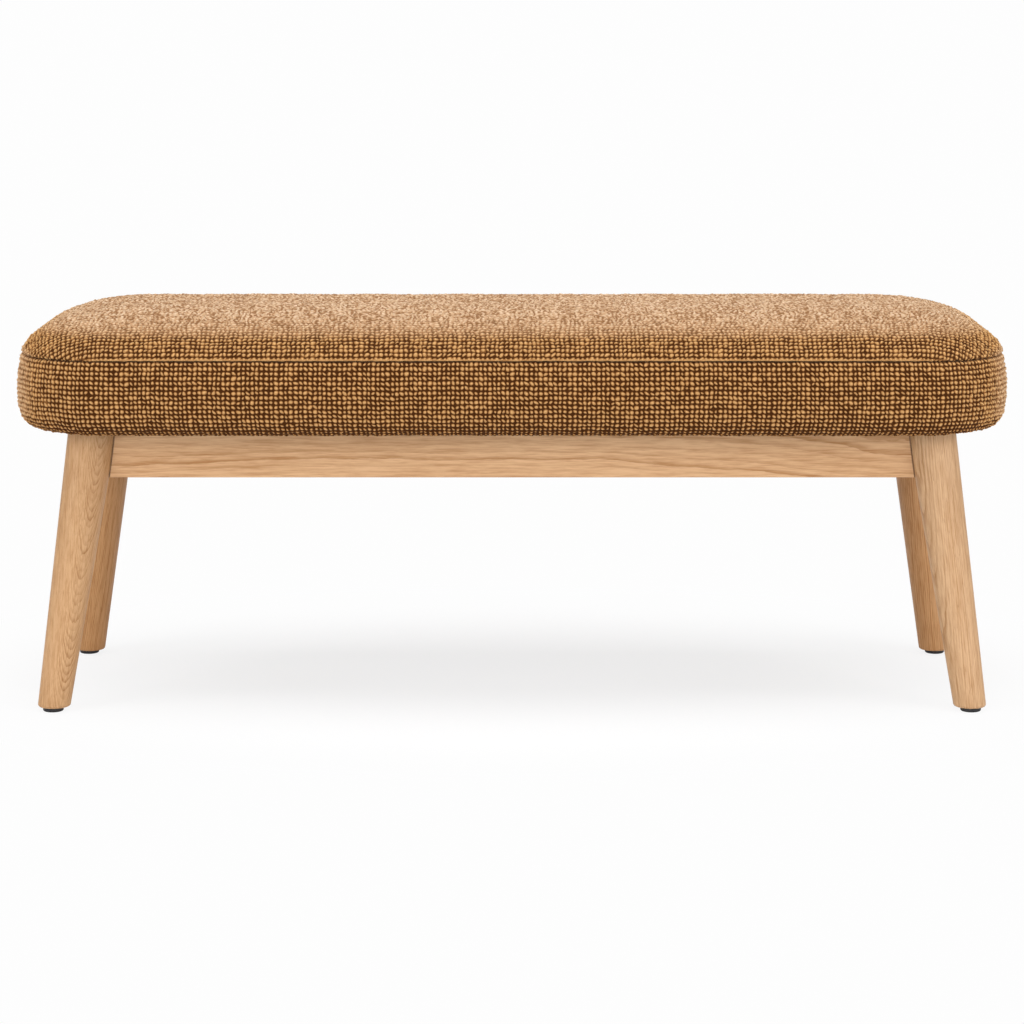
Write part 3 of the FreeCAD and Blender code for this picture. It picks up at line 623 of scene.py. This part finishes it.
camel_weave, tree, shader = finish("camel_weave", Roughness=0.85, IOR=1.35, Specular_IOR_Level=0.1,
                                   Sheen_Weight=0.1, Sheen_Roughness=0.35, Sheen_Tint=(1.0, 0.75, 0.50, 1.0))
weave = stored(tree, "weave")["Vector"]
u, v, pressed = split(tree, weave)
in_u = maths(tree, "SUBTRACT", maths(tree, "FRACT", u), 0.5)
in_v = maths(tree, "SUBTRACT", maths(tree, "FRACT", v), 0.5)
cell = add(tree, "ShaderNodeCombineXYZ", maths(tree, "FLOOR", u), maths(tree, "FLOOR", v))
each = add(tree, "ShaderNodeTexWhiteNoise", Vector=cell.outputs[0])
lean_chance, size_chance, shade_chance = split(tree, each.outputs["Color"])
# The twist of the yarn leans every bead by a different amount.
in_u = maths(tree, "MULTIPLY_ADD", in_v, maths(tree, "MULTIPLY_ADD", lean_chance, 1.1, -0.75), in_u)
away = maths(tree, "DIVIDE", far(tree, in_u, in_v), maths(tree, "MULTIPLY_ADD", size_chance, 0.32, 0.84))
bead = maths(tree, "MAXIMUM", ramp(tree, away, 0.54, 0.02), maths(tree, "MULTIPLY", pressed, 0.80))
twist = add(tree, "ShaderNodeMapping", Vector=weave, Rotation=(0.0, 0.0, math.radians(TWIST)))
fibre = noise(tree, twist.outputs[0], (17.0, 4.5, 1.0), 3.0, 0.65)
slub = noise(tree, weave, (0.4, 0.4, 0.0), 3.0, 0.6)
# The tone is low in the gaps and on the low relief, so the shade between the beads is partly painted.
tone = total(tree, (bead, 0.92), (stored(tree, "relief")["Fac"], 0.16), (shade_chance, 0.24), (fibre, 0.50),
             (slub, 0.40), (1.0, -0.59))
endways, _, upward = split(tree, stored(tree, "outward")["Vector"])
sideways = maths(tree, "ABSOLUTE", endways)
# The crown that faces up takes the paler fuzz colours, partly its rubbed fuzz and partly painted sheen and top light;
# the ends take them as painted sheen.
ends = maths(tree, "MULTIPLY", ramp(tree, sideways, 0.72, 1.0), 0.6)
fuzz_and_sheen = maths(tree, "MAXIMUM", ramp(tree, upward, 0.80, 1.0), ends)
# On the crown the rubbed yarn lifts in small curls, with darker lines between them.
curl = noise(tree, weave, (0.85, 0.32, 0.0), 1.0)
curl = maths(tree, "ABSOLUTE", maths(tree, "SUBTRACT", curl, 0.5))
curl = maths(tree, "MULTIPLY", ramp(tree, curl, 0.105, 0.020), fuzz_and_sheen)
furry = total(tree, (curl, -0.78), (fibre, 0.5), (1.0, 0.52))
tone = blend(tree, maths(tree, "MULTIPLY", fuzz_and_sheen, 0.55), tone, furry)
# Painted shade darkens the edge that turns under, and painted light makes the crown's slope and the ends paler.
tone = total(tree, (tone, 1.0), (ramp(tree, upward, -0.25, -0.80), -0.28),
             (ramp(tree, upward, 0.05, 0.60), 0.07), (ramp(tree, sideways, 0.20, 0.80), 0.12))
gap_and_shade, middle, light = (blend(tree, fuzz_and_sheen, *pair) for pair in (
    (YARN_GAP_AND_SHADE, FUZZ_SHEEN_GAP), (YARN_MIDDLE, FUZZ_SHEEN_MIDDLE), (YARN_LIGHT, FUZZ_SHEEN_LIGHT)))
colour = blend(tree, ramp(tree, tone, 0.40, 0.95), blend(tree, ramp(tree, tone, 0.12, 0.50), gap_and_shade, middle), light)
tree.links.new(colour, shader.inputs["Base Color"])
bump(tree, shader, total(tree, (fibre, 0.3), (bead, 1.0)), 0.0014)
plain_weave = weave_tree(camel_weave)

crown_inset, crown_level = skin(np.linspace(3, 2, 400))
crown_arc = np.concatenate([[0.0], np.cumsum(np.hypot(np.diff(crown_inset), np.diff(crown_level)))])
crown_out, crown_up = outwards(crown_inset, crown_level)
crown_length = crown_arc[-1]
level_inset = SEAM_INSET + CROWN_WIDTH  # inset of the level top


def flat_contour(arc):
    """A contour of the crown as it lies in the flat cloth, from its arc length out from the level top."""
    inset = np.interp(arc, crown_arc, crown_inset)
    radius, middle_x, middle_y = corner_at(inset)
    return radius + arc - (level_inset - inset), middle_x, middle_y, inset


def outside(u, v, arc):
    """Distance of a point of the flat cloth outside that contour."""
    radius, middle_x, middle_y, _ = flat_contour(arc)
    over_x, over_y = np.abs(u) - middle_x, np.abs(v) - middle_y
    both = np.hypot(np.maximum(over_x, 0), np.maximum(over_y, 0))
    return np.where((over_x > 0) & (over_y > 0), both, np.maximum(over_x, over_y)) - radius


def on_outline(u, v, radius, middle_x, middle_y):
    """The nearest place on a rounded rectangle, and the way out from it."""
    over_x, over_y = np.abs(u) - middle_x, np.abs(v) - middle_y
    turned = (over_x > 0) & (over_y > 0)
    size = np.maximum(np.hypot(over_x, over_y), 1e-9)
    way_x = np.where(turned, over_x / size, over_x > over_y) * np.sign(u)
    way_y = np.where(turned, over_y / size, over_x <= over_y) * np.sign(v)
    x = np.where(turned | (way_x != 0), np.sign(u) * middle_x + radius * way_x, u)
    y = np.where(turned | (way_y != 0), np.sign(v) * middle_y + radius * way_y, v)
    return x, y, way_x, way_y


def lay_on_crown(u, v):
    """Where points of the flat cloth come to lie on the crown, and the crown's outward direction there."""
    low, high = np.zeros(u.shape), np.full(u.shape, crown_length)
    for _ in range(26):
        middle = (low + high) / 2
        beyond = outside(u, v, middle) > 0
        low, high = np.where(beyond, middle, low), np.where(beyond, high, middle)
    arc = (low + high) / 2
    _, middle_x, middle_y, inset = flat_contour(arc)
    x, y, way_x, way_y = on_outline(u, v, corner_at(inset)[0], middle_x, middle_y)
    out, up = np.interp(arc, crown_arc, crown_out), np.interp(arc, crown_arc, crown_up)
    points = np.stack([x, y, np.interp(arc, crown_arc, crown_level)], -1)
    ways = np.stack([way_x * out, way_y * out, up], -1)
    level = outside(u, v, 0.0) <= 0
    points[level] = np.stack([u, v, np.full(u.shape, SEAT_TOP)], -1)[level]
    ways[level] = (0.0, 0.0, 1.0)
    return points, ways


half_u = HALF_LENGTH - level_inset + crown_length
half_v = HALF_DEPTH - level_inset + crown_length
yarns_u, yarns_v = 2 * round(half_u / YARN - 0.5) + 1, 2 * round(half_v / YARN - 0.5) + 1
column, row = np.meshgrid(np.arange(yarns_u * STEPS + 1), np.arange(yarns_v * STEPS + 1), indexing="ij")
u = (yarn_places(yarns_u, 5, WIDTHS_ACROSS)[column] * 2 - 1) * half_u
v = (yarn_places(yarns_v, 6, WIDTHS_DOWN)[row] * 2 - 1) * half_v
inside = outside((u[1:, 1:] + u[:-1, :-1]) / 2, (v[1:, 1:] + v[:-1, :-1]) / 2, crown_length) < 0
index = np.arange(u.size).reshape(u.shape)
faces = np.stack([index[:-1, :-1], index[1:, :-1], index[1:, 1:], index[:-1, 1:]], -1)[inside]
used, faces_flat = np.unique(faces, return_inverse=True)
faces = faces_flat.reshape(faces.shape)
u, v, column, row = (values.ravel()[used] for values in (u, v, column, row))

# The cut edge is found as the sides that only one face has, and moved on to the seam.
sides = np.concatenate([faces[:, [corner, (corner + 1) % 4]] for corner in range(4)])
_, first, times = np.unique(np.sort(sides, 1), axis=0, return_index=True, return_counts=True)
following = dict(sides[first[times == 1]].tolist())
edge = [min(following)]
while following[edge[-1]] != edge[0]:
    edge.append(following[edge[-1]])
edge = np.array(edge)
u[edge], v[edge], way_u, way_v = on_outline(u[edge], v[edge], *flat_contour(crown_length)[:3])

to_seam = np.maximum(-outside(u, v, crown_length), 0)
slack = np.minimum(to_seam / LOOSENS, 1.0)
loose = YARN * np.clip((to_seam - STEADY) / EASES, 0, 1)
stray_u = waves(u, v, 21, RIPPLES, RIPPLE) * slack + STRAY_WEFT * loose * drift(row / STEPS, u, 24)
stray_v = waves(u, v, 22, RIPPLES, RIPPLE) * slack + STRAY_WARP * loose * drift(column / STEPS, v, 25)
points, ways = lay_on_crown(u + stray_u, v + stray_v)
lift = waves(u, v, 23, SWELLS, SWELL) * slack - seam_pull(to_seam)
fold = np.clip(1.0 - (to_seam - FOLD * 0.6) / (FOLD * 0.4), 0, 1) * (to_seam > 0.0007)
fold = fold * np.clip((FOLD_END - np.abs(points[:, 0])) / EASES, 0, 1)
skin_points, skin_ways = points, ways
points = points + ways * lift[:, None]

# The inner side of the cloth: rings from the seam up to the level top.
inner = [skin_points[edge] - skin_ways[edge] * (SEAM_DEPTH + 2 * COVER)]
for share in np.linspace(0.98, 0.0, 9):
    back = (1 - share) * crown_length
    place, way = lay_on_crown(u[edge] - way_u * back, v[edge] - way_v * back)
    inner.append(place - way * LINING)
inner_points = np.concatenate(inner)
start, count = len(points), len(edge)
hem = np.stack([edge, start + np.arange(count), start + np.roll(np.arange(count), -1), np.roll(edge, -1)], 1)
cap = [list(range(start + len(inner_points) - count, start + len(inner_points)))[::-1]]
top_panel = sewn_piece("cover_top", np.concatenate([points, inner_points]),
                       [faces, hem, ring_faces(len(inner), count, start), cap], camel_weave)
for name, known in (("weave", np.stack([column / STEPS, row / STEPS, fold], 1)), ("outward", ways)):
    store_vectors(top_panel.data, name, np.concatenate([known, np.zeros((len(inner_points), 3))]))
flat = np.stack([u / half_u * 0.495 + 0.5, v / half_v * 0.47 + 0.52], 1)
band = np.stack([np.tile(np.arange(count) / count, len(inner)) * 0.98 + 0.01,
                 0.005 + np.repeat(np.arange(len(inner)), count) * 0.003], 1)
bake_map(top_panel.data, np.concatenate([flat, band]))
grow(top_panel, plain_weave, Unevenness=0.0034, Seed=11)
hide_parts("cover_top_panel")

# Border of the cover.
# A long strip of the same cloth round the sides, joined at the middle of the back, rolled in under the
# board and stapled there. Its yarns stand upright.
HEM_EDGE = 0.0695  # inset of the strip's hidden lower edge
BOARD_EDGE = 0.046  # inset at which the strip lies flat under the board
ROLLED_UNDER, ROLLS_IN = 0.104, 0.012  # how far down the strip it turns under, and over what length
LEVEL_RUN = 0.006  # its beads face level at the seam, to meet the top panel, and turn with it below this
HEM_PRESSED = 0.75  # how flat its weave is pressed under the board
ROWS_DOWN = 22
strip_inset, strip_level = skin(np.linspace(2, 0, 600))
hem_inset = np.linspace(UNDER_INSET, HEM_EDGE, 60)[1:]
hem_level = np.interp(hem_inset, [UNDER_INSET, BOARD_EDGE], [ROLL_LEVEL, HEM_LEVEL])
strip_inset, strip_level = np.append(strip_inset, hem_inset), np.append(strip_level, hem_level)
strip_arc = np.concatenate([[0.0], np.cumsum(np.hypot(np.diff(strip_inset), np.diff(strip_level)))])
strip_up = outwards(strip_inset, strip_level)[1]
girth = girth_of(*corner_at(0.0))
yarns_round = round(girth / YARN)
count = yarns_round * STEPS
along = yarn_places(yarns_round, 7, WIDTHS_ACROSS)[:-1]
columns, along = columns_at(along), along * girth
to_join = np.minimum(along, girth - along)
points, ways, pressed = [], [], []
for arc in yarn_places(ROWS_DOWN, 8, WIDTHS_DOWN) * ROWS_DOWN * YARN:
    slack = min(arc / LOOSENS, 1.0)
    under = np.clip((arc - ROLLED_UNDER) / ROLLS_IN, 0, 1)  # held flat against the board
    here = arc + waves(along, np.full(count, arc), 41, RIPPLES, RIPPLE) * slack
    place, way = ring(columns, np.interp(here, strip_arc, strip_inset), np.interp(here, strip_arc, strip_level))
    up = np.interp(arc, strip_arc, strip_up) * min(arc / LEVEL_RUN, 1.0)
    way = way * math.sqrt(1 - up * up) + np.array([0.0, 0.0, up])
    lift = waves(along, np.full(count, arc), 43, SWELLS, SWELL) * slack * (1 - under)
    lift = lift - (seam_pull(arc) + seam_pull(to_join)) * (1 - under)
    points.append(place + way * lift[:, None])
    ways.append(way)
    pressed.append(np.full(count, HEM_PRESSED * under))
outer = len(points)
for inset, level in ((HEM_EDGE, HEM_LEVEL + 0.0002), (HEM_EDGE, HEM_LEVEL + COVER - 0.0002)):
    points.append(ring(columns, inset, level)[0])
inner_inset, inner_level = skin(np.linspace(1.93, 0.0, 14))
inner_out, inner_up = outwards(inner_inset, inner_level)
for inset, level, out, up in list(zip(inner_inset, inner_level, inner_out, inner_up))[::-1]:
    points.append(ring(columns, inset + LINING * out, level - LINING * up)[0])
points.append(ring(columns, SEAM_INSET + SEAM_DEPTH + 2 * COVER, SEAM_LEVEL - 0.0006)[0])
rings = len(points)
border = sewn_piece("cover_border", np.concatenate(points), [ring_faces(rings, count, closed=True)], camel_weave)
hidden = rings - outer
places = np.stack([np.tile(np.arange(count) / STEPS, rings),
                   np.repeat(np.minimum(np.arange(rings), outer - 1), count) / STEPS,
                   np.concatenate(pressed + [np.zeros(count)] * hidden)], 1)
store_vectors(border.data, "weave", places)
store_vectors(border.data, "outward", np.concatenate(ways + [np.zeros((count, 3))] * hidden))
quarter = np.minimum(np.arange(count) * 4 // count, 3)
flat = np.stack([np.tile((np.arange(count) / count * 4 - quarter) * 0.98 + 0.01, rings),
                 np.tile(quarter * 0.25, rings) + 0.24 - places[:, 1] / places[:, 1].max() * 0.23], 1)
bake_map(border.data, flat)
grow(border, plain_weave, Unevenness=0.0028, Seed=31)
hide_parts("cover_boxing")

# Dust cover.
# A sheet of thin black spun cloth, its edge folded under, stretched over the underside and held by staples.
SHEET_LENGTH, SHEET_DEPTH = 1.112, 0.312
SHEET_CORNER = 0.072
SHEET_EASE = 0.0005  # least radius, at the middle
EDGE_DRAWN, PUCKER = 0.0012, 0.00018  # how far the staples draw the edge out, and the cloth up
SHEET_FOLD = 0.012  # width of the folded edge
SHEET_LEVEL = 0.3354  # its face; the cloth is thinner than its packed space
STAPLE_INSET = 0.0065
STAPLE_SPACING = 0.038
SPUN_BLACK = (0.018, 0.018, 0.019)
SPUN_GREY = (0.045, 0.045, 0.047)
material, tree, shader = finish("spun_cloth", Roughness=0.8, IOR=1.4)
place = object_place(tree)
felt = noise(tree, place, (700.0, 260.0, 700.0), 4.0, 0.7)
dots = add(tree, "ShaderNodeTexVoronoi", Vector=place, Scale=520.0, Randomness=0.25)
pinch = ramp(tree, dots.outputs["Distance"], 0.28, 0.10)
tree.links.new(blend(tree, total(tree, (ramp(tree, felt, 0.35, 0.75), 0.7), (pinch, -0.3)), SPUN_BLACK, SPUN_GREY),
               shader.inputs["Base Color"])
bump(tree, shader, total(tree, (felt, 1.0), (pinch, -0.8)), 0.0003)
sheet_rings, sheet_points = 40, 520
outline = SHEET_CORNER + SHEET_EASE, *(size / 2 - SHEET_CORNER - SHEET_EASE for size in (SHEET_LENGTH, SHEET_DEPTH))
along = np.arange(sheet_points) / sheet_points
columns = columns_of(along, *outline)
drawn = np.cos(along * girth_of(*outline) * 2 * math.pi / STAPLE_SPACING)  # towards the staples
insets = np.concatenate([np.linspace(SHEET_FOLD, 0.0, 5), np.linspace(0.0, SHEET_DEPTH / 2 - 0.002, sheet_rings)])
layers = np.concatenate([np.full(5, 0.0004), np.zeros(sheet_rings)])
points = []
for inset, layer in zip(insets, layers):
    radius = max(SHEET_CORNER - inset, 0.0) + SHEET_EASE  # the corner tightens towards the middle
    flat, way = around(columns, radius, SHEET_LENGTH / 2 - inset - radius, SHEET_DEPTH / 2 - inset - radius)
    flat = flat - way * (EDGE_DRAWN * drawn * math.exp(-inset / 0.006))[:, None]
    pucker = PUCKER * drawn * math.exp(-inset / 0.030) * (layer == 0)
    points.append(np.column_stack([flat, SHEET_LEVEL + layer - pucker]))
middle = [list(range((len(points) - 1) * sheet_points, len(points) * sheet_points))[::-1]]
dust_cover = sewn_piece("dust_cover_sheet", np.concatenate(points),
                        [ring_faces(len(points), sheet_points), middle], material)


def staple_tree(material):
    """Geometry nodes that set staples at even spacing along a line, each lying along it."""
    tree, given = new_tree("staples", "Line", "Staples", Spacing=STAPLE_SPACING, Crown=0.010, Wire=0.0007, Askew=0.12)
    line = add(tree, "GeometryNodeMeshToCurve", given["Line"])
    spots = add(tree, "GeometryNodeCurveToPoints", line.outputs[0], settings={"mode": "LENGTH"},
                Length=given["Spacing"])
    start, end = (add(tree, "ShaderNodeCombineXYZ", Z=maths(tree, "MULTIPLY", given["Crown"], share)).outputs[0]
                  for share in (-0.5, 0.5))
    crown = add(tree, "GeometryNodeCurvePrimitiveLine", Start=start, End=end)
    wire = add(tree, "GeometryNodeCurvePrimitiveCircle", Resolution=6, Radius=given["Wire"])
    body = add(tree, "GeometryNodeCurveToMesh", Curve=crown.outputs[0], Profile_Curve=wire.outputs[0], Fill_Caps=True)
    askew = add(tree, "FunctionNodeRandomValue", settings={"data_type": "FLOAT"}, Seed=given["Seed"])
    low, high = [socket for socket in askew.inputs if socket.enabled][:2]
    put(tree, low, maths(tree, "MULTIPLY", given["Askew"], -1.0))
    put(tree, high, given["Askew"])
    twist = add(tree, "ShaderNodeCombineXYZ", Z=next(socket for socket in askew.outputs if socket.enabled))
    turned = add(tree, "FunctionNodeRotateRotation", spots.outputs["Rotation"], twist.outputs[0])
    placed = add(tree, "GeometryNodeInstanceOnPoints", Points=spots.outputs["Points"], Instance=body.outputs[0],
                 Rotation=turned.outputs[0])
    return give_back(tree, placed.outputs[0], material)


outline = points[4] + np.array([0.0, 0.0, -0.0003])
outline[:, :2] *= 1 - STAPLE_INSET / np.array([SHEET_LENGTH / 2, SHEET_DEPTH / 2])
mesh = bpy.data.meshes.new("sheet_staples")
mesh.from_pydata(outline.tolist(), [(k, (k + 1) % sheet_points) for k in range(sheet_points)], [])
staples = set_up("sheet_staples", mesh)
grow(staples, staple_tree(zinc_plate), Spacing=STAPLE_SPACING, Seed=4)
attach(staples, "root")
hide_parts("dust_cover")

# Floor, lights and camera.
# A white floor that runs far back and shows the bench's soft cast shadow inside a painted ellipse, wide soft lamps,
# and a camera in front.
PAPER_WHITE = 0.985
FLOOR_REACH = 60.0
SHADOW_KEPT = 0.32  # share of the lit floor that shows under the bench
SHADOW_REACH, SHADOW_MIDDLE = (0.74, 0.47), 0.12  # half sizes of the painted shadow ellipse, and how far behind the bench's middle it lies
FLOOR_PALE = (0.90, 0.90, 0.91, 1.0)
mesh = bpy.data.meshes.new("floor")
mesh.from_pydata([(-FLOOR_REACH, -FLOOR_REACH, 0), (FLOOR_REACH, -FLOOR_REACH, 0), (FLOOR_REACH, FLOOR_REACH, 0),
                  (-FLOOR_REACH, FLOOR_REACH, 0)], [], [(0, 1, 2, 3)])
floor = set_up("floor", mesh)
material = bpy.data.materials.new("floor_paint")
material.use_nodes = True
tree = material.node_tree
tree.nodes.clear()
matt = add(tree, "ShaderNodeBsdfDiffuse", Color=FLOOR_PALE)
paper = add(tree, "ShaderNodeEmission", Color=(PAPER_WHITE, PAPER_WHITE, PAPER_WHITE, 1.0))
# Inside a soft ellipse behind the bench's middle the lit floor, with its cast shadow, is mixed in at SHADOW_KEPT;
# outside it the camera sees paper white, so the shadow's outline is painted.
centred = add(tree, "ShaderNodeMapping", Vector=object_place(tree), Location=(0.0, -SHADOW_MIDDLE, 0.0),
              Scale=(1.0 / SHADOW_REACH[0], 1.0 / SHADOW_REACH[1], 1.0))
length = add(tree, "ShaderNodeVectorMath", centred.outputs[0], settings={"operation": "LENGTH"})
shown = maths(tree, "MULTIPLY_ADD", ramp(tree, length.outputs["Value"], 1.15, 0.35), -SHADOW_KEPT, 1.0)
seen = add(tree, "ShaderNodeLightPath").outputs["Is Camera Ray"]
mixed = add(tree, "ShaderNodeMixShader", maths(tree, "MULTIPLY", shown, seen), matt.outputs[0], paper.outputs[0])
from_below = maths(tree, "MULTIPLY", add(tree, "ShaderNodeNewGeometry").outputs["Backfacing"], seen)
clear = add(tree, "ShaderNodeBsdfTransparent")
under = add(tree, "ShaderNodeMixShader", from_below, mixed.outputs[0], clear.outputs[0])
add(tree, "ShaderNodeOutputMaterial", Surface=under.outputs[0])
floor.data.materials.append(material)

ROOM_LIGHT = 0.34
world = bpy.data.worlds.new("studio")
bpy.context.scene.world = world
world.use_nodes = True
tree = world.node_tree
path = add(tree, "ShaderNodeLightPath").outputs
white = maths(tree, "MAXIMUM", path["Is Camera Ray"], path["Is Glossy Ray"])
sky = tree.nodes["Background"].inputs
sky["Color"].default_value = (1.0, 1.0, 1.0, 1.0)
tree.links.new(total(tree, (white, PAPER_WHITE - ROOM_LIGHT), (1.0, ROOM_LIGHT)), sky["Strength"])

LAMPS = {  # place, aim, size and power
    "overhead": ((0.0, -0.3, 2.6), (0.0, 0.0, 0.3), (2.6, 1.6), 45.0),
    "left_side": ((-2.6, -1.7, 1.3), (0.0, 0.0, 0.35), (1.8, 1.8), 36.0),
    "right_side": ((2.6, -1.7, 1.3), (0.0, 0.0, 0.35), (1.8, 1.8), 38.0),
    "back": ((0.0, 3.9, 1.6), (0.0, 0.0, 0.3), (3.6, 1.8), 44.0),
    "front": ((0.0, -3.9, 1.3), (0.0, 0.0, 0.3), (3.6, 1.8), 49.0),
}
for name, (place, aim, size, power) in LAMPS.items():
    lamp = bpy.data.lights.new(name, "AREA")
    lamp.shape = "RECTANGLE"
    lamp.size, lamp.size_y = size
    lamp.energy = power
    stand = set_up(name, lamp)
    stand.location = place
    stand.rotation_euler = (Vector(aim) - Vector(place)).to_track_quat("-Z", "Y").to_euler()

EYE = (0.0, -3.890, 0.882)
EYE_PITCH = 9.72  # degrees below level
LENS = 110.74  # millimetres
camera = bpy.data.cameras.new("camera")
camera.sensor_width = 36.0
camera.lens = LENS
camera.clip_end = 300.0
eye = set_up("camera", camera)
eye.location = EYE
eye.rotation_euler = (math.radians(90.0 - EYE_PITCH), 0.0, 0.0)
bpy.context.scene.camera = eye
bpy.context.scene.view_settings.view_transform = "Standard"
